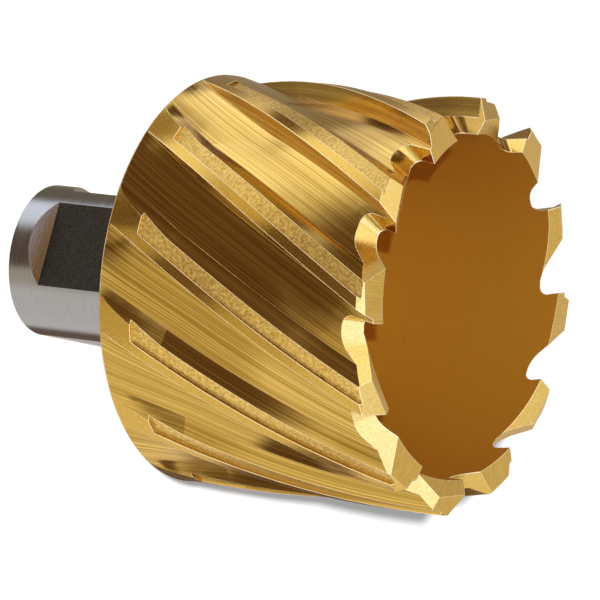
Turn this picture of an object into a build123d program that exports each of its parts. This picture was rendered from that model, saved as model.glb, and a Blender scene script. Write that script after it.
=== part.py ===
import os
from math import atan, cos, degrees, hypot, radians, sin, tan

from build123d import *

# An annular cutter: a round shank with two drive flats carries a fluted cup,
# whose open rim is ground into twelve teeth.
# It stands on the shank's end, with the teeth up. The axis is Z.
# Lengths are in millimetres and angles in degrees. Bearings turn from +X to +Y,
# which is also the way the tool cuts.

# Shank
shank_dia = 19.05
shank_length = 24.7
shank_chamfer_width = 1.0
shank_chamfer_height = 0.57
flat_depth = 1.73
flat_start = 4.9
flat_length = 14.6
flat_end_slope = 45.0
flat_bearings = (255.2, 165.2)
pin_hole_dia = 6.4
pin_hole_chamfer = 0.5

# Cup
cup_dia = 50.8
cup_length = 37.55
wall_thickness = 4.365
web_thickness = 6.2
web_corner = 1.0
rim_chamfer = 0.25

# Flutes
tooth_count = 12
first_tooth_bearing = 218.5
helix_angle = 29.4
flute_lag = 2.9
rake_foot_depth = 2.35
rake_foot_lead = 1.6
heel_foot_depth = 2.0
heel_foot_lead = 18.0
heel_edge_lead = 22.8

# Run-out of the flutes towards the back of the cup
rake_runout_start = 0.3
rake_runout_length = 15.3
heel_runout_start = 0.1
heel_runout_length = 8.5
runout_bow = 0.55
runout_hollow = 0.24
heel_runout_drift = 0.2
heel_runout_lift = 0.015

# Cleared part of each land, behind its margin
margin_width = 1.5
clearance_depth = 0.43
clearance_start = 4.55

# Square teeth, every other one
square_end_relief = 0.095
square_end_dish = 0.08
square_corner_width = 0.45
square_corner_slope = 0.95
square_corner_relief = 0.137
square_corner_lag = 8.0
square_rake_skew = 0.06

# Roof-shaped teeth, between the square ones
roof_tip_drop = 0.38
roof_ridge_rise = 0.29
roof_ridge_offset = 1.755
roof_ridge_lag = 1.6
roof_inner_slope = 0.43
roof_inner_relief = 0.14
roof_outer_slope = 0.5
roof_outer_relief = 0.17
roof_rake_skew = 0.42

# Gullets
gullet_hook = 0.218
gullet_depth = 2.63
gullet_fall = 0.954
gullet_root_radius = 0.9
gullet_root_growth = 0.155
gullet_floor_end = 1.0
gullet_back_radius = 3.8
gullet_back_slope = 0.8

# Room that the cutting shapes take past the surfaces they cut
overrun = 2.0
bore_overrun = 0.8
section_step = 6.0
sector_lead = 3.0
sector_depth = 12.0

shank_radius = shank_dia / 2
cup_radius = cup_dia / 2
bore_radius = cup_radius - wall_thickness
back = shank_length
front = back + cup_length
pitch = 360 / tooth_count
land_angle = pitch - heel_edge_lead
twist_rate = degrees(tan(radians(helix_angle)) / cup_radius)
rake_full = back + rake_runout_start + rake_runout_length
heel_full = back + heel_runout_start + heel_runout_length


def polar(radius, bearing):
    return Vector(radius * cos(radians(bearing)), radius * sin(radians(bearing)))


def extended(start, end, length):
    """The point that lies past end by length, on the line from start."""
    return end + (end - start).normalized() * length


def spaced(low, high, step):
    """Heights from low to high, evenly spaced by about step."""
    count = max(2, round((high - low) / step))
    return [low + (high - low) * i / count for i in range(count + 1)]


def on_helix(section, height):
    """Place a section drawn for the front plane at a height on the helix."""
    return Pos(0, 0, height) * Rot(0, 0, twist_rate * (height - front)) * section


def make_blank():
    """The turned blank: shank, web and cup, bored through for the pilot pin."""
    pin_radius = pin_hole_dia / 2
    top = front + overrun
    web_top = back + web_thickness
    outline = Polyline(
        (pin_radius + pin_hole_chamfer, 0),
        (shank_radius - shank_chamfer_width, 0),
        (shank_radius, shank_chamfer_height),
        (shank_radius, back),
        (cup_radius - rim_chamfer, back),
        (cup_radius, back + rim_chamfer),
        (cup_radius, top),
        (bore_radius, top),
        (bore_radius, web_top + web_corner),
        (bore_radius - web_corner, web_top),
        (pin_radius, web_top),
        (pin_radius, pin_hole_chamfer),
        close=True,
    )
    return revolve(Plane.XZ * make_face(outline), Axis.Z)


def make_drive_flat(bearing):
    """What is milled off the shank for one flat, with its sloping ends."""
    floor = shank_radius - flat_depth
    rise = flat_depth + overrun
    run = rise / tan(radians(flat_end_slope))
    flat_end = flat_start + flat_length
    side = make_face(Polyline(
        (floor, flat_start),
        (floor, flat_end),
        (floor + rise, flat_end + run),
        (floor + rise, flat_start - run),
        close=True,
    ))
    return Rot(0, 0, bearing) * extrude(Plane.XZ * side, shank_radius, both=True)


def make_flute():
    """The full-depth flute: rake wall, flat floor and sloping heel wall."""
    rake_edge = polar(cup_radius, -flute_lag)
    rake_foot = polar(cup_radius - rake_foot_depth, rake_foot_lead - flute_lag)
    heel_foot = polar(cup_radius - heel_foot_depth, heel_foot_lead - flute_lag)
    heel_edge = polar(cup_radius, heel_edge_lead - flute_lag)
    section = make_face(Polyline(
        extended(rake_foot, rake_edge, overrun),
        rake_foot,
        heel_foot,
        extended(heel_foot, heel_edge, overrun),
        close=True,
    ))
    heights = spaced(back - overrun, front + overrun, section_step)
    return loft([on_helix(section, height) for height in heights])


def runout_depth(full_depth, full_height, length, height):
    """Depth of the ramp along one side, which bows up to nothing towards the back."""
    to_run = (full_height - height) / length
    return full_depth * (1 - (1 - runout_bow) * to_run - runout_bow * max(to_run, 0) ** 2)


def runout_section(height):
    """Section of the ramp that lifts the flute's floor to the back of the cup."""
    rake_depth = runout_depth(rake_foot_depth, rake_full, rake_runout_length, height)
    heel_depth = runout_depth(heel_foot_depth, heel_full, heel_runout_length, height)
    heel_lead = heel_foot_lead - heel_runout_drift * (heel_full - height)
    hollow = runout_hollow * min((height - back) / (heel_full - back), 1)

    def floor_point(lead):
        share = (lead - rake_foot_lead) / (heel_lead - rake_foot_lead)
        depth = rake_depth + (heel_depth - rake_depth) * share + 4 * hollow * share * (1 - share)
        return polar(cup_radius - depth, lead - flute_lag)

    rake_side = -2 * rake_foot_lead
    rake_point = floor_point(rake_side)
    middle = floor_point((rake_side + heel_lead) / 2)
    heel_point = floor_point(heel_lead)
    heel_lift = heel_runout_lift * (heel_full - height)
    heel_edge = polar(cup_radius + heel_lift, heel_lead + heel_edge_lead - heel_foot_lead - flute_lag)
    heel_top = extended(heel_point, heel_edge, overrun)
    rake_top = polar(cup_radius + 2 * overrun, rake_side - flute_lag)
    return make_face([
        Line(rake_top, rake_point),
        ThreePointArc(rake_point, middle, heel_point),
        Line(heel_point, heel_top),
        Line(heel_top, rake_top),
    ])


def make_runout():
    """The ramp as a body that is deeper than the flute beyond the crease."""
    heights = spaced(back, heel_full, section_step / 2)
    heights += spaced(heel_full, rake_full, section_step / 2)[1:]
    heights += spaced(rake_full, front + overrun, section_step)[1:]
    return loft([on_helix(runout_section(height), height) for height in heights])


def make_land_clearance():
    """What is ground off a land behind its margin."""
    floor = cup_radius - clearance_depth
    outside = cup_radius + overrun
    margin_angle = degrees(margin_width / cup_radius)
    near = -flute_lag - margin_angle
    far = -flute_lag - 2 * land_angle
    section = make_face([
        Line(polar(outside, near), polar(floor, near)),
        ThreePointArc(polar(floor, near), polar(floor, (near + far) / 2), polar(floor, far)),
        Line(polar(floor, far), polar(outside, far)),
        Line(polar(outside, far), polar(outside, near)),
    ])
    heights = spaced(back + clearance_start, front + overrun, section_step)
    return loft([on_helix(section, height) for height in heights])


def block_above(point, radial_slope, forward_slope, bearing=0.0):
    """All that lies above a plane through point, sloping outwards and forwards."""
    size = 2 * cup_dia
    tilt = Plane(origin=(point.X, point.Y, point.Z), z_dir=(-radial_slope, -forward_slope, 1))
    return Rot(0, 0, bearing) * tilt * Pos(0, 0, size / 2) * Box(size, size, size)


def tooth_sector():
    """The space round one tooth, from its gullet to the gullet behind it."""
    inside = bore_radius - overrun
    outside = cup_radius + 2 * overrun
    behind = sector_lead - pitch
    outline = Polyline(
        polar(inside, behind),
        polar(outside, behind),
        polar(outside, sector_lead),
        polar(inside, sector_lead),
        close=True,
    )
    height = sector_depth + 2 * overrun
    return Pos(0, 0, front - sector_depth) * extrude(make_face(outline), height)


def square_end():
    """What is ground off above a square tooth: its end and its outer corner."""
    tip = Vector(bore_radius, 0, front)
    corner_radius = cup_radius - square_corner_width
    corner = polar(corner_radius, -square_corner_lag)
    corner_drop = square_end_dish * (corner.X - tip.X) - square_end_relief * corner.Y
    corner_point = Vector(corner_radius, 0, front - corner_drop)
    end_plane = block_above(tip, -square_end_dish, square_end_relief)
    corner_plane = block_above(corner_point, -square_corner_slope, square_corner_relief, -square_corner_lag)
    return [tooth_sector() & end_plane, tooth_sector() & corner_plane]


def roof_end():
    """What is ground off above a roof-shaped tooth: two planes with a ridge."""
    ridge_radius = bore_radius + roof_ridge_offset
    ridge = polar(ridge_radius, -roof_ridge_lag)
    peak = Vector(ridge.X, ridge.Y, front + roof_ridge_rise)
    inner_plane = block_above(peak, roof_inner_slope, roof_inner_relief)
    outer_plane = block_above(peak, -roof_outer_slope, roof_outer_relief)
    return [tooth_sector() & inner_plane, tooth_sector() & outer_plane]


def gullet_section(radial, rake_skew, tip):
    """Section of a gullet at a distance from the axis, seen towards it."""
    out = radial - bore_radius
    floor = front - gullet_depth - gullet_fall * out
    root = gullet_root_radius + gullet_root_growth * out
    top = front + overrun
    slant = hypot(1, gullet_hook)
    hook_angle = degrees(atan(gullet_hook))
    back_angle = degrees(atan(gullet_back_slope))

    def rake(height):
        return -rake_skew * out + gullet_hook * (height - tip)

    root_centre = Vector(rake(floor + root) + root * slant, floor + root)
    root_arc = CenterArc(root_centre, root, 180 - hook_angle, 90 + hook_angle)
    back_centre = Vector(gullet_floor_end, floor + gullet_back_radius)
    back_arc = CenterArc(back_centre, gullet_back_radius, -90, back_angle)
    back_end = back_arc @ 1
    back_top = Vector(back_end.X + (top - back_end.Y) / gullet_back_slope, top)
    rake_top = Vector(rake(top), top)
    section = make_face([
        Line(rake_top, root_arc @ 0),
        root_arc,
        Line(root_arc @ 1, back_arc @ 0),
        back_arc,
        Line(back_end, back_top),
        Line(back_top, rake_top),
    ])
    return Plane(origin=(radial, 0, 0), x_dir=(0, 1, 0), z_dir=(1, 0, 0)) * section


def make_gullet(rake_skew, tip):
    """A gullet through the wall, which falls away outwards."""
    inner = gullet_section(bore_radius - bore_overrun, rake_skew, tip)
    outer = gullet_section(cup_radius + overrun, rake_skew, tip)
    return loft([inner, outer], ruled=True)


def around(cutters, start=0, step=1):
    """Copies of the cutters at every tooth, or at every step-th one from start."""
    return [
        Rot(0, 0, first_tooth_bearing + pitch * i) * cutter
        for i in range(start, tooth_count, step)
        for cutter in cutters
    ]


def make_annular_cutter():
    body = make_blank()
    body -= [make_drive_flat(bearing) for bearing in flat_bearings]
    body -= around([make_flute() & make_runout()])
    body -= around([make_land_clearance()])
    body -= around(square_end(), 0, 2) + around(roof_end(), 1, 2)
    body -= around([make_gullet(square_rake_skew, front)], 0, 2)
    body -= around([make_gullet(roof_rake_skew, front - roof_tip_drop)], 1, 2)
    return body


os.makedirs("parts", exist_ok=True)
export_step(make_annular_cutter(), "parts/annular_cutter.step")
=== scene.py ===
from math import cos, hypot, radians, sin, tan

import bpy
from mathutils import Matrix, Vector


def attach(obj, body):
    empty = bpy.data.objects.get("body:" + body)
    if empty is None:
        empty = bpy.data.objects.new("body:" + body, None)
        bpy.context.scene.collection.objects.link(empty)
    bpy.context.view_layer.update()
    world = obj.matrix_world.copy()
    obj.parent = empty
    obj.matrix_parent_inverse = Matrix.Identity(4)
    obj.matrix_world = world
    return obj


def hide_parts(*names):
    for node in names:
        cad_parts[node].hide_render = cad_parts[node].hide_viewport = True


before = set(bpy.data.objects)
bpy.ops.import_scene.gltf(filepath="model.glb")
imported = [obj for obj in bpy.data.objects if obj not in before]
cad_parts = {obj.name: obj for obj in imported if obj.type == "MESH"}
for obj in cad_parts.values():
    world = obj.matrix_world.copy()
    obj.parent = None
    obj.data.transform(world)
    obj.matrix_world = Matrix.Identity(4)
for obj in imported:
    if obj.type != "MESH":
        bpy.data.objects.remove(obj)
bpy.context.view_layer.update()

# An annular cutter that stands on its shank, teeth up.
# Lengths are in metres and angles in degrees.

# Sizes of the solid that tell its surfaces apart
SHANK_RADIUS = 0.009525
SHANK_TOP = 0.0247
SHANK_CHAMFER_HEIGHT = 0.00057
FLAT_DEPTH = 0.00173
FLAT_BEARINGS = (255.2, 165.2)
CUP_RADIUS = 0.0254
WALL = 0.004365
BORE_RADIUS = CUP_RADIUS - WALL
LAND_CLEARANCE = 0.00043
RECESS_RADIUS = CUP_RADIUS - LAND_CLEARANCE
RIM_CHAMFER = 0.00025
TEETH_BOTTOM = 0.0535
HELIX_ANGLE = 29.4
FLUTE_TWIST = tan(radians(HELIX_ANGLE)) / CUP_RADIUS  # in radians for each metre of height
NEAR = 0.00002

# Slopes of faces, as parts of their normal along a direction
LEVEL_DOWN = -0.5
ALONG_FLUTE = 0.12
TOOTH_END_UP = 0.78
FLAT_ACROSS = 0.999
FLAT_END_ACROSS = (0.6, 0.8)
FLAT_END_UP = 0.6

# The photograph's camera, in the part's frame
CAMERA_PLACE = (0.001418, -0.608925, 0.409227)
CAMERA_RIGHT = Vector((-0.11432, 0.51734, 0.84811))
CAMERA_UP = Vector((-0.99344, -0.05953, -0.09759))
CAMERA_BACK = Vector((0.0, -0.85371, 0.52075))
CAMERA_CLIP = 0.01

# Its lens and the width of its sensor, in millimetres
CAMERA_LENS = 347.7
CAMERA_SENSOR = 36.0

# Finishes. A noise runs from NOISE_LOW to NOISE_HIGH, apart from a few peaks.
MICRON = 0.000001
GOLD_DARK = (0.56, 0.32, 0.045)
GOLD = (0.66, 0.395, 0.07)
GOLD_LIGHT = (0.75, 0.485, 0.11)
# The colour of the painted highlight on outer edges
GOLD_EDGE_HIGHLIGHT = (1.0, 0.82, 0.50)
NOISE_LOW = 0.3
NOISE_HIGH = 0.7
BEVEL_SAMPLES = 8
SOFT_EDGE = 120 * MICRON

# Painted highlights along outer edges: where the normal of a rounded edge turns from the face's,
# from full highlight to none, and where the place is open enough, from none to full
EDGE_HIGHLIGHT_RADIUS = 180 * MICRON
EDGE_HIGHLIGHT_TURN = (0.9, 0.985)
EDGE_HIGHLIGHT_REACH = 3 * EDGE_HIGHLIGHT_RADIUS
EDGE_HIGHLIGHT_OPENNESS = (0.75, 0.95)
EDGE_HIGHLIGHT_SAMPLES = 4
EDGE_HIGHLIGHT_METALLIC = 0.35

# The studio
FLOOR_SIZE = 6.0
FLOOR_COLOR = (0.86, 0.86, 0.86, 1.0)
FLOOR_GLOW = (0.3, 0.3, 0.3, 1.0)
WHITE_PAPER = (1.0, 1.0, 1.0, 1.0)
WORLD_STRENGTH = 0.06
LAMP_AZIMUTH = 0.2
LAMP_ELEVATION = 2.65
LAMP_SPREAD = 0.8
LAMP_STRENGTH = 5.0
PANEL_CORNERS = 48
PANEL_CORE = 0.55

# Strengths of the panels' red, green and blue light
DARK = (0.17, 0.11, 0.08)
DUSK = (0.24, 0.20, 0.15)
DIM = (0.33, 0.28, 0.20)
HAZE = (0.45, 0.38, 0.27)
PALE = (0.62, 0.57, 0.46)
GREY = (0.72, 0.67, 0.55)
GLOW = (0.85, 0.75, 0.55)
BRIGHT = (1.5, 1.62, 1.9)
WHITE = (1.5, 1.9, 3.4)

# Places on the part that a small panel close by is aimed at
SHANK_MIDDLE = (0.0, 0.0, 0.011)
CUP_MIDDLE = (0.0, 0.0, 0.044)
TOP_LAND = (-0.0196, -0.0155, 0.0458)
UPPER_LAND = (-0.0091, -0.0233, 0.0466)
TOP_OF_RIM = (-0.0177, -0.0182, 0.026)
FRONT_OF_RIM = (-0.0037, -0.0251, 0.0251)
LOWER_EDGE = (0.0254, 0.0, 0.035)

# Panels far from the part: name, azimuth, elevation, half width and half height
# as angles, distance, strength. A nearer panel covers a farther one.
FAR_PANELS = [
    ("flag_left", -35.0, 35.0, 36.0, 40.0, 1.0, DARK),
    ("flag_left_far", -62.0, 28.0, 18.0, 24.0, 1.02, DARK),
    ("flag_left_high", -12.0, 66.0, 16.0, 12.0, 0.98, DARK),
    ("flag_left_low", -66.0, 4.5, 20.0, 16.0, 1.03, DARK),
    ("flag_top", 30.0, 84.0, 32.0, 21.0, 1.1, DARK),
    ("flag_back", -176.0, -26.0, 25.0, 25.0, 1.05, DARK),
    ("flag_low", -11.0, -36.0, 8.0, 40.0, 1.15, DIM),
    ("flag_right", 118.0, 34.0, 26.0, 28.0, 1.12, DARK),
    ("flag_right_high", 147.0, 58.0, 20.0, 14.0, 1.12, DARK),
    # Painted shadow: a dark panel straight below, standing in for a contact shadow in the lowest
    # reflections
    ("flag_under", -70.0, -86.0, 11.0, 11.0, 0.9, DARK),
    ("box_front", 32.0, -14.0, 30.0, 52.0, 1.3, WHITE),
    ("box_front_high", 56.0, 38.0, 40.0, 30.0, 1.25, BRIGHT),
    ("box_left", -106.0, 50.0, 24.0, 21.0, 1.35, BRIGHT),
    ("box_back", -152.0, 71.0, 38.0, 15.0, 1.4, BRIGHT),
    ("box_back_low", -122.0, -10.0, 16.0, 12.0, 1.25, BRIGHT),
    ("wall_back", -154.0, 12.0, 50.0, 34.0, 1.28, DIM),
    ("wall_back_high", -172.0, 34.0, 30.0, 16.0, 1.45, DIM),
    ("wall_right", 128.0, -4.0, 54.0, 60.0, 1.6, GREY),
    ("wall_left", -60.0, -14.0, 50.0, 22.0, 1.55, GREY),
]

# Panels close to the part: the same, and the place that they are aimed at. They paint light or shade
# into the reflections near that place.
NEAR_PANELS = [
    ("flag_shank", -161.0, 49.0, 26.0, 26.0, 0.06, DUSK, SHANK_MIDDLE),
    # Painted shadow: a dark sheet under the cup, standing in for a contact shadow in reflections
    ("flag_ground", 180.0, -77.0, 36.0, 22.0, 0.035, DARK, CUP_MIDDLE),
    ("flag_land_top", -152.0, 57.0, 23.0, 16.0, 0.02, DARK, TOP_LAND),
    ("flag_rim_top", -128.0, 61.5, 24.0, 20.0, 0.015, HAZE, TOP_OF_RIM),
    # Painted shadow: a dark sheet below the lower edge, standing in for a contact shadow in
    # reflections
    ("flag_contact", -40.0, -67.0, 24.0, 26.0, 0.02, DARK, LOWER_EDGE),
    ("glow_rim", -52.0, 18.0, 24.0, 14.0, 0.02, PALE, FRONT_OF_RIM),
    ("glow_land", -71.0, 42.0, 22.0, 20.0, 0.02, GLOW, UPPER_LAND),
]


class Finish:
    """A metal finish: a shader led by patterns. A pattern's scale is its marks per metre."""

    def __init__(self, name, metallic=1.0):
        self.material = bpy.data.materials.new(name)
        self.material.use_nodes = True
        self.nodes = self.material.node_tree.nodes
        self.links = self.material.node_tree.links
        self.shader = self.nodes["Principled BSDF"]
        self.shader.inputs["Metallic"].default_value = metallic
        self.place = self.node("ShaderNodeTexCoord").outputs["Object"]

    def node(self, kind, **settings):
        made = self.nodes.new(kind)
        for key, value in settings.items():
            setattr(made, key, value)
        return made

    def product(self, first, second):
        """A value times another one, which may be a plain number."""
        made = self.node("ShaderNodeMath", operation="MULTIPLY")
        self.links.new(first, made.inputs[0])
        if isinstance(second, float):
            made.inputs[1].default_value = second
        else:
            self.links.new(second, made.inputs[1])
        return made.outputs[0]

    def stretched(self, source, scale):
        made = self.node("ShaderNodeMapping")
        made.inputs["Scale"].default_value = scale
        self.links.new(source, made.inputs["Vector"])
        return made.outputs[0]

    def untwisted(self):
        """The place turned back by the flutes' twist, so that a flute runs straight up."""
        split = self.node("ShaderNodeSeparateXYZ")
        self.links.new(self.place, split.inputs[0])
        turned = self.node("ShaderNodeVectorRotate", rotation_type="Z_AXIS")
        self.links.new(self.place, turned.inputs["Vector"])
        self.links.new(self.product(split.outputs["Z"], -FLUTE_TWIST), turned.inputs["Angle"])
        return turned.outputs[0]

    def outward(self, source):
        """The source moved onto the cup's radius, so that a pattern on it runs outwards."""
        split = self.node("ShaderNodeSeparateXYZ")
        self.links.new(source, split.inputs[0])
        flat = self.node("ShaderNodeCombineXYZ")
        self.links.new(split.outputs["X"], flat.inputs["X"])
        self.links.new(split.outputs["Y"], flat.inputs["Y"])
        unit = self.node("ShaderNodeVectorMath", operation="NORMALIZE")
        self.links.new(flat.outputs[0], unit.inputs[0])
        spread = self.node("ShaderNodeVectorMath", operation="SCALE")
        spread.inputs["Scale"].default_value = CUP_RADIUS
        self.links.new(unit.outputs[0], spread.inputs[0])
        lifted = self.node("ShaderNodeCombineXYZ")
        self.links.new(split.outputs["Z"], lifted.inputs["Z"])
        total = self.node("ShaderNodeVectorMath", operation="ADD")
        self.links.new(spread.outputs[0], total.inputs[0])
        self.links.new(lifted.outputs[0], total.inputs[1])
        return total.outputs[0]

    def noise(self, source, scale, detail):
        made = self.node("ShaderNodeTexNoise")
        made.inputs["Scale"].default_value = scale
        made.inputs["Detail"].default_value = detail
        self.links.new(source, made.inputs["Vector"])
        return made.outputs["Fac"]

    def ranged(self, source, low, high, start=NOISE_LOW, end=NOISE_HIGH):
        made = self.node("ShaderNodeMapRange")
        made.inputs["From Min"].default_value = start
        made.inputs["From Max"].default_value = end
        made.inputs["To Min"].default_value = low
        made.inputs["To Max"].default_value = high
        self.links.new(source, made.inputs["Value"])
        return made.outputs[0]

    def vary_roughness(self, pattern, low, high):
        self.links.new(self.ranged(pattern, low, high), self.shader.inputs["Roughness"])

    def vary_color(self, pattern, dark, light):
        made = self.node("ShaderNodeMix", data_type="RGBA")
        made.inputs["A"].default_value = (*dark, 1.0)
        made.inputs["B"].default_value = (*light, 1.0)
        self.links.new(self.ranged(pattern, 0.0, 1.0), made.inputs["Factor"])
        self.links.new(made.outputs["Result"], self.shader.inputs["Base Color"])

    def soften_edges(self):
        """Edges that look slightly rounded, as the normal that bumps start from."""
        edge = self.node("ShaderNodeBevel", samples=BEVEL_SAMPLES)
        edge.inputs["Radius"].default_value = SOFT_EDGE
        self.links.new(edge.outputs[0], self.shader.inputs["Normal"])

    def add_bumps(self, pattern, depth):
        """Bumps on top of the shader's present normal."""
        normal = self.shader.inputs["Normal"]
        bump = self.node("ShaderNodeBump")
        bump.inputs["Distance"].default_value = depth
        self.links.new(pattern, bump.inputs["Height"])
        self.links.new(normal.links[0].from_socket, bump.inputs["Normal"])
        self.links.new(bump.outputs[0], normal)

    def follow(self, pattern, roughness, colors, depth):
        """Roughness, colour and bumps that all follow one pattern."""
        self.vary_roughness(pattern, *roughness)
        self.vary_color(pattern, *colors)
        self.soften_edges()
        self.add_bumps(pattern, depth)

    def paint_edge_highlights(self):
        """A painted highlight: a lighter, less metallic line along each outer edge, as if it caught
        the light.
        """
        rounded = self.node("ShaderNodeBevel", samples=BEVEL_SAMPLES)
        rounded.inputs["Radius"].default_value = EDGE_HIGHLIGHT_RADIUS
        plain = self.node("ShaderNodeNewGeometry")
        turn = self.node("ShaderNodeVectorMath", operation="DOT_PRODUCT")
        self.links.new(rounded.outputs[0], turn.inputs[0])
        self.links.new(plain.outputs["Normal"], turn.inputs[1])
        edge = self.ranged(turn.outputs["Value"], 1.0, 0.0, *EDGE_HIGHLIGHT_TURN)
        sky = self.node("ShaderNodeAmbientOcclusion", samples=EDGE_HIGHLIGHT_SAMPLES)
        sky.inputs["Distance"].default_value = EDGE_HIGHLIGHT_REACH
        painted_highlight = self.product(edge, self.ranged(sky.outputs["AO"], 0.0, 1.0, *EDGE_HIGHLIGHT_OPENNESS))
        base = self.shader.inputs["Base Color"]
        made = self.node("ShaderNodeMix", data_type="RGBA")
        self.links.new(painted_highlight, made.inputs["Factor"])
        self.links.new(base.links[0].from_socket, made.inputs["A"])
        made.inputs["B"].default_value = (*GOLD_EDGE_HIGHLIGHT, 1.0)
        self.links.new(made.outputs["Result"], base)
        metallic = self.shader.inputs["Metallic"]
        self.links.new(self.ranged(painted_highlight, metallic.default_value, EDGE_HIGHLIGHT_METALLIC, 0.0, 1.0), metallic)


def flute_finish():
    """Ground along the helix, nearly bright."""
    finish = Finish("flute_ground")
    along = finish.stretched(finish.outward(finish.untwisted()), scale=(1.0, 1.0, 0.006))
    lines = finish.noise(along, scale=4600.0, detail=4.0)
    bands = finish.noise(along, scale=1500.0, detail=2.0)
    finish.vary_roughness(bands, low=0.12, high=0.16)
    finish.vary_color(lines, dark=(0.36, 0.195, 0.022), light=(0.84, 0.545, 0.135))
    finish.soften_edges()
    finish.add_bumps(bands, depth=1.2 * MICRON)
    finish.add_bumps(lines, depth=3 * MICRON)
    # Painted highlight along the outer edges
    finish.paint_edge_highlights()
    return finish.material


def margin_finish():
    """The outside of the cup: ground, with a fine grain."""
    finish = Finish("margin_ground")
    grain = finish.noise(finish.place, scale=6500.0, detail=3.0)
    finish.follow(grain, roughness=(0.17, 0.25), colors=(GOLD_DARK, GOLD_LIGHT), depth=2.5 * MICRON)
    # Painted highlight along the outer edges
    finish.paint_edge_highlights()
    return finish.material


def recess_finish():
    """The cleared part of a land: rougher, with a pebbled grain."""
    finish = Finish("recess_grained", metallic=0.8)
    grain = finish.noise(finish.place, scale=2700.0, detail=3.0)
    colors = ((0.46, 0.27, 0.045), (0.86, 0.575, 0.16))
    finish.follow(grain, roughness=(0.32, 0.42), colors=colors, depth=40 * MICRON)
    # Painted highlight along the outer edges
    finish.paint_edge_highlights()
    return finish.material


def flank_finish():
    """Ground ends of the teeth."""
    finish = Finish("flank_ground")
    lines = finish.noise(finish.outward(finish.place), scale=4500.0, detail=1.0)
    colors = ((0.70, 0.45, 0.10), (0.79, 0.53, 0.15))
    finish.follow(lines, roughness=(0.26, 0.34), colors=colors, depth=1.5 * MICRON)
    # Painted highlight along the outer edges
    finish.paint_edge_highlights()
    return finish.material


def gullet_finish():
    """Bright gullets with lines that the wheel left from the inside out."""
    finish = Finish("gullet_ground")
    lines = finish.noise(finish.outward(finish.place), scale=6000.0, detail=3.0)
    finish.follow(lines, roughness=(0.15, 0.24), colors=(GOLD, (0.82, 0.56, 0.17)), depth=4 * MICRON)
    # Painted highlight along the outer edges
    finish.paint_edge_highlights()
    return finish.material


def bore_finish():
    """The inside: matte amber with a fine grain and faint lines round it."""
    finish = Finish("bore_matte", metallic=0.82)
    grain = finish.noise(finish.place, scale=7000.0, detail=3.0)
    rings = finish.stretched(finish.place, scale=(0.05, 0.05, 1.0))
    around = finish.noise(rings, scale=3000.0, detail=2.0)
    colors = ((0.55, 0.26, 0.018), (0.68, 0.34, 0.035))
    finish.follow(grain, roughness=(0.48, 0.62), colors=colors, depth=8 * MICRON)
    finish.add_bumps(around, depth=4 * MICRON)
    return finish.material


def shank_finish():
    """Bare steel, ground round."""
    finish = Finish("shank_ground")
    rings = finish.stretched(finish.place, scale=(0.03, 0.03, 1.0))
    lines = finish.noise(rings, scale=9000.0, detail=3.0)
    colors = ((0.355, 0.34, 0.32), (0.405, 0.39, 0.37))
    finish.follow(lines, roughness=(0.17, 0.24), colors=colors, depth=2 * MICRON)
    return finish.material


def flat_finish():
    """Dark steel, milled, with specks."""
    finish = Finish("flat_milled")
    grain = finish.noise(finish.place, scale=5000.0, detail=3.0)
    colors = ((0.05, 0.044, 0.032), (0.11, 0.10, 0.08))
    finish.follow(grain, roughness=(0.34, 0.5), colors=colors, depth=20 * MICRON)
    return finish.material


def flat_end_finish():
    """The sloping ends of the flats, smooth enough to show the cup's back."""
    finish = Finish("flat_end_milled")
    finish.shader.inputs["Base Color"].default_value = (0.22, 0.17, 0.12, 1.0)
    grain = finish.noise(finish.place, scale=5000.0, detail=3.0)
    finish.vary_roughness(grain, low=0.12, high=0.2)
    finish.soften_edges()
    finish.add_bumps(grain, depth=10 * MICRON)
    return finish.material


FINISHES = {
    "margin": margin_finish,
    "recess": recess_finish,
    "flute": flute_finish,
    "flank": flank_finish,
    "gullet": gullet_finish,
    "bore": bore_finish,
    "shank": shank_finish,
    "flat": flat_finish,
    "flat_end": flat_end_finish,
}


def shank_surface(center, normal):
    """Name of the finish on a face of the shank."""
    floor = SHANK_RADIUS - FLAT_DEPTH
    low, high = FLAT_END_ACROSS
    for bearing in FLAT_BEARINGS:
        facing = Vector((cos(radians(bearing)), sin(radians(bearing)), 0.0))
        across = normal.dot(facing)
        if across > FLAT_ACROSS and abs(center.dot(facing) - floor) < NEAR:
            return "flat"
        if low < across < high and abs(normal.z) > FLAT_END_UP and center.z > SHANK_CHAMFER_HEIGHT:
            return "flat_end"
    return "shank"


def finish_of(center, normal, radii):
    """Name of the finish on a face, whose corners lie at the given radii."""

    def all_at(*levels):
        return all(min(abs(radius - level) for level in levels) < NEAR for radius in radii)

    if center.z < SHANK_TOP and max(radii) < SHANK_RADIUS + NEAR:
        return shank_surface(center, normal)
    if max(radii) < BORE_RADIUS + NEAR:
        return "bore"
    if normal.z < LEVEL_DOWN and center.z < SHANK_TOP + RIM_CHAMFER:
        return "margin"
    if all_at(RECESS_RADIUS):
        return "recess"
    if all_at(RECESS_RADIUS, CUP_RADIUS):
        return "margin"
    along = Vector((-center.y * FLUTE_TWIST, center.x * FLUTE_TWIST, 1.0)).normalized()
    if center.z > TEETH_BOTTOM and abs(normal.dot(along)) > ALONG_FLUTE:
        return "flank" if normal.z > TOOTH_END_UP else "gullet"
    return "flute"


def merge_doubles(piece):
    """Joins the loose triangles and gives each corner back the solid's exact normal."""
    mesh = piece.data
    normals = [tuple(corner.vector) for corner in mesh.corner_normals]
    faces = len(mesh.polygons)
    bpy.ops.object.select_all(action="DESELECT")
    piece.select_set(True)
    bpy.context.view_layer.objects.active = piece
    bpy.ops.object.mode_set(mode="EDIT")
    bpy.ops.mesh.select_all(action="SELECT")
    bpy.ops.mesh.remove_doubles(threshold=MICRON)
    bpy.ops.object.mode_set(mode="OBJECT")
    if len(mesh.polygons) == faces:
        mesh.normals_split_custom_set(normals)


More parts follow.
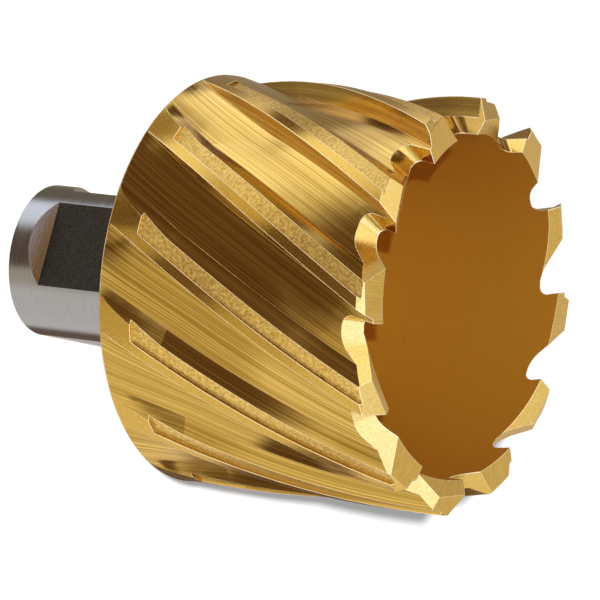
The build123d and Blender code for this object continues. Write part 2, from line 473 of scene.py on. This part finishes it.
def dress_cutter():
    """A copy of the solid, with a finish on each kind of surface."""
    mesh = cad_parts["annular_cutter"].data.copy()
    cutter = bpy.data.objects.new("cutter_body", mesh)
    bpy.context.scene.collection.objects.link(cutter)
    mesh.materials.clear()
    merge_doubles(cutter)
    for make_finish in FINISHES.values():
        mesh.materials.append(make_finish())
    order = list(FINISHES)
    for face in mesh.polygons:
        corners = [mesh.vertices[i].co for i in face.vertices]
        radii = [hypot(corner.x, corner.y) for corner in corners]
        face.material_index = order.index(finish_of(face.center, face.normal, radii))
    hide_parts("annular_cutter")
    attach(cutter, "root")


def aimed(azimuth, elevation):
    """Direction seen from the part: azimuth 0 is at the camera, 90 to the picture's right."""
    level = CAMERA_BACK * cos(radians(azimuth)) + CAMERA_RIGHT * sin(radians(azimuth))
    return level * cos(radians(elevation)) + CAMERA_UP * sin(radians(elevation))


def glowing(name, strength):
    """A panel's material: even in the core, and fading out towards the rim."""
    material = bpy.data.materials.new(name)
    material.use_nodes = True
    nodes, links = material.node_tree.nodes, material.node_tree.links
    nodes.clear()
    place = nodes.new("ShaderNodeTexCoord")
    from_centre = nodes.new("ShaderNodeVectorMath")
    from_centre.operation = "LENGTH"
    fade = nodes.new("ShaderNodeMapRange")
    fade.interpolation_type = "SMOOTHSTEP"
    fade.inputs["From Min"].default_value = PANEL_CORE
    fade.inputs["From Max"].default_value = 1.0
    fade.inputs["To Min"].default_value = 1.0
    fade.inputs["To Max"].default_value = 0.0
    glow = nodes.new("ShaderNodeEmission")
    glow.inputs["Color"].default_value = (*strength, 1.0)
    clear = nodes.new("ShaderNodeBsdfTransparent")
    mix = nodes.new("ShaderNodeMixShader")
    out = nodes.new("ShaderNodeOutputMaterial")
    links.new(place.outputs["Object"], from_centre.inputs[0])
    links.new(from_centre.outputs["Value"], fade.inputs["Value"])
    links.new(fade.outputs[0], mix.inputs["Fac"])
    links.new(clear.outputs[0], mix.inputs[1])
    links.new(glow.outputs[0], mix.inputs[2])
    links.new(mix.outputs[0], out.inputs["Surface"])
    return material


def add_panel(name, azimuth, elevation, wide, high, distance, strength, place=(0.0, 0.0, 0.0)):
    """A round panel of light or shade that only reflections show, aimed at a place."""
    way = aimed(azimuth, elevation)
    bpy.ops.mesh.primitive_circle_add(vertices=PANEL_CORNERS, radius=1.0, fill_type="NGON")
    panel = bpy.context.object
    panel.name = name
    across = CAMERA_UP.cross(way).normalized()
    over = way.cross(across)
    turn = Matrix((across, over, way)).transposed().to_4x4()
    size = Matrix.Diagonal((distance * tan(radians(wide)), distance * tan(radians(high)), 1.0, 1.0))
    panel.matrix_world = Matrix.Translation(Vector(place) + way * distance) @ turn @ size
    panel.data.materials.append(glowing(name, strength))
    panel.visible_camera = False
    panel.visible_diffuse = False
    panel.visible_shadow = False


def add_floor():
    """A white floor that takes the shadow. Its glow, for the camera alone, keeps it white."""
    bpy.ops.mesh.primitive_plane_add(size=FLOOR_SIZE)
    floor = bpy.context.object
    floor.name = "floor"
    material = bpy.data.materials.new("floor_white")
    material.use_nodes = True
    nodes, links = material.node_tree.nodes, material.node_tree.links
    shader = nodes["Principled BSDF"]
    shader.inputs["Base Color"].default_value = FLOOR_COLOR
    shader.inputs["Roughness"].default_value = 1.0
    shader.inputs["Specular IOR Level"].default_value = 0.0
    shader.inputs["Emission Color"].default_value = FLOOR_GLOW
    path = nodes.new("ShaderNodeLightPath")
    links.new(path.outputs["Is Camera Ray"], shader.inputs["Emission Strength"])
    floor.data.materials.append(material)
    floor.visible_glossy = False


def add_world():
    """Faint light from all round, and white where the camera or a reflection sees it."""
    world = bpy.data.worlds.new("studio")
    world.use_nodes = True
    nodes, links = world.node_tree.nodes, world.node_tree.links
    light = nodes["Background"]
    light.inputs["Color"].default_value = WHITE_PAPER
    light.inputs["Strength"].default_value = WORLD_STRENGTH
    white = nodes.new("ShaderNodeBackground")
    white.inputs["Color"].default_value = WHITE_PAPER
    path = nodes.new("ShaderNodeLightPath")
    seen = path.outputs["Is Camera Ray"]
    for kind in ("Is Glossy Ray", "Is Transmission Ray"):
        either = nodes.new("ShaderNodeMath")
        either.operation = "MAXIMUM"
        links.new(seen, either.inputs[0])
        links.new(path.outputs[kind], either.inputs[1])
        seen = either.outputs[0]
    mix = nodes.new("ShaderNodeMixShader")
    links.new(seen, mix.inputs["Fac"])
    links.new(light.outputs[0], mix.inputs[1])
    links.new(white.outputs[0], mix.inputs[2])
    links.new(mix.outputs[0], nodes["World Output"].inputs["Surface"])
    bpy.context.scene.world = world


def add_key_lamp():
    """A small far lamp just above the camera, for the tight shadow below the cup."""
    data = bpy.data.lights.new("key_lamp", "SUN")
    data.angle = radians(LAMP_SPREAD)
    data.energy = LAMP_STRENGTH
    lamp = bpy.data.objects.new("key_lamp", data)
    bpy.context.scene.collection.objects.link(lamp)
    way = aimed(LAMP_AZIMUTH, LAMP_ELEVATION)
    lamp.matrix_world = Matrix.Translation(way) @ way.to_track_quat("Z", "Y").to_matrix().to_4x4()
    lamp.visible_glossy = False


def add_camera():
    """The photograph's camera."""
    data = bpy.data.cameras.new("camera")
    data.lens = CAMERA_LENS
    data.sensor_width = CAMERA_SENSOR
    data.clip_start = CAMERA_CLIP
    camera = bpy.data.objects.new("camera", data)
    bpy.context.scene.collection.objects.link(camera)
    axes = Matrix((CAMERA_RIGHT, CAMERA_UP, CAMERA_BACK)).transposed().to_4x4()
    camera.matrix_world = Matrix.Translation(CAMERA_PLACE) @ axes
    bpy.context.scene.camera = camera


dress_cutter()
add_floor()
add_world()
add_key_lamp()
for panel_row in FAR_PANELS + NEAR_PANELS:
    add_panel(*panel_row)
add_camera()

bpy.context.scene.view_settings.view_transform = "Standard"
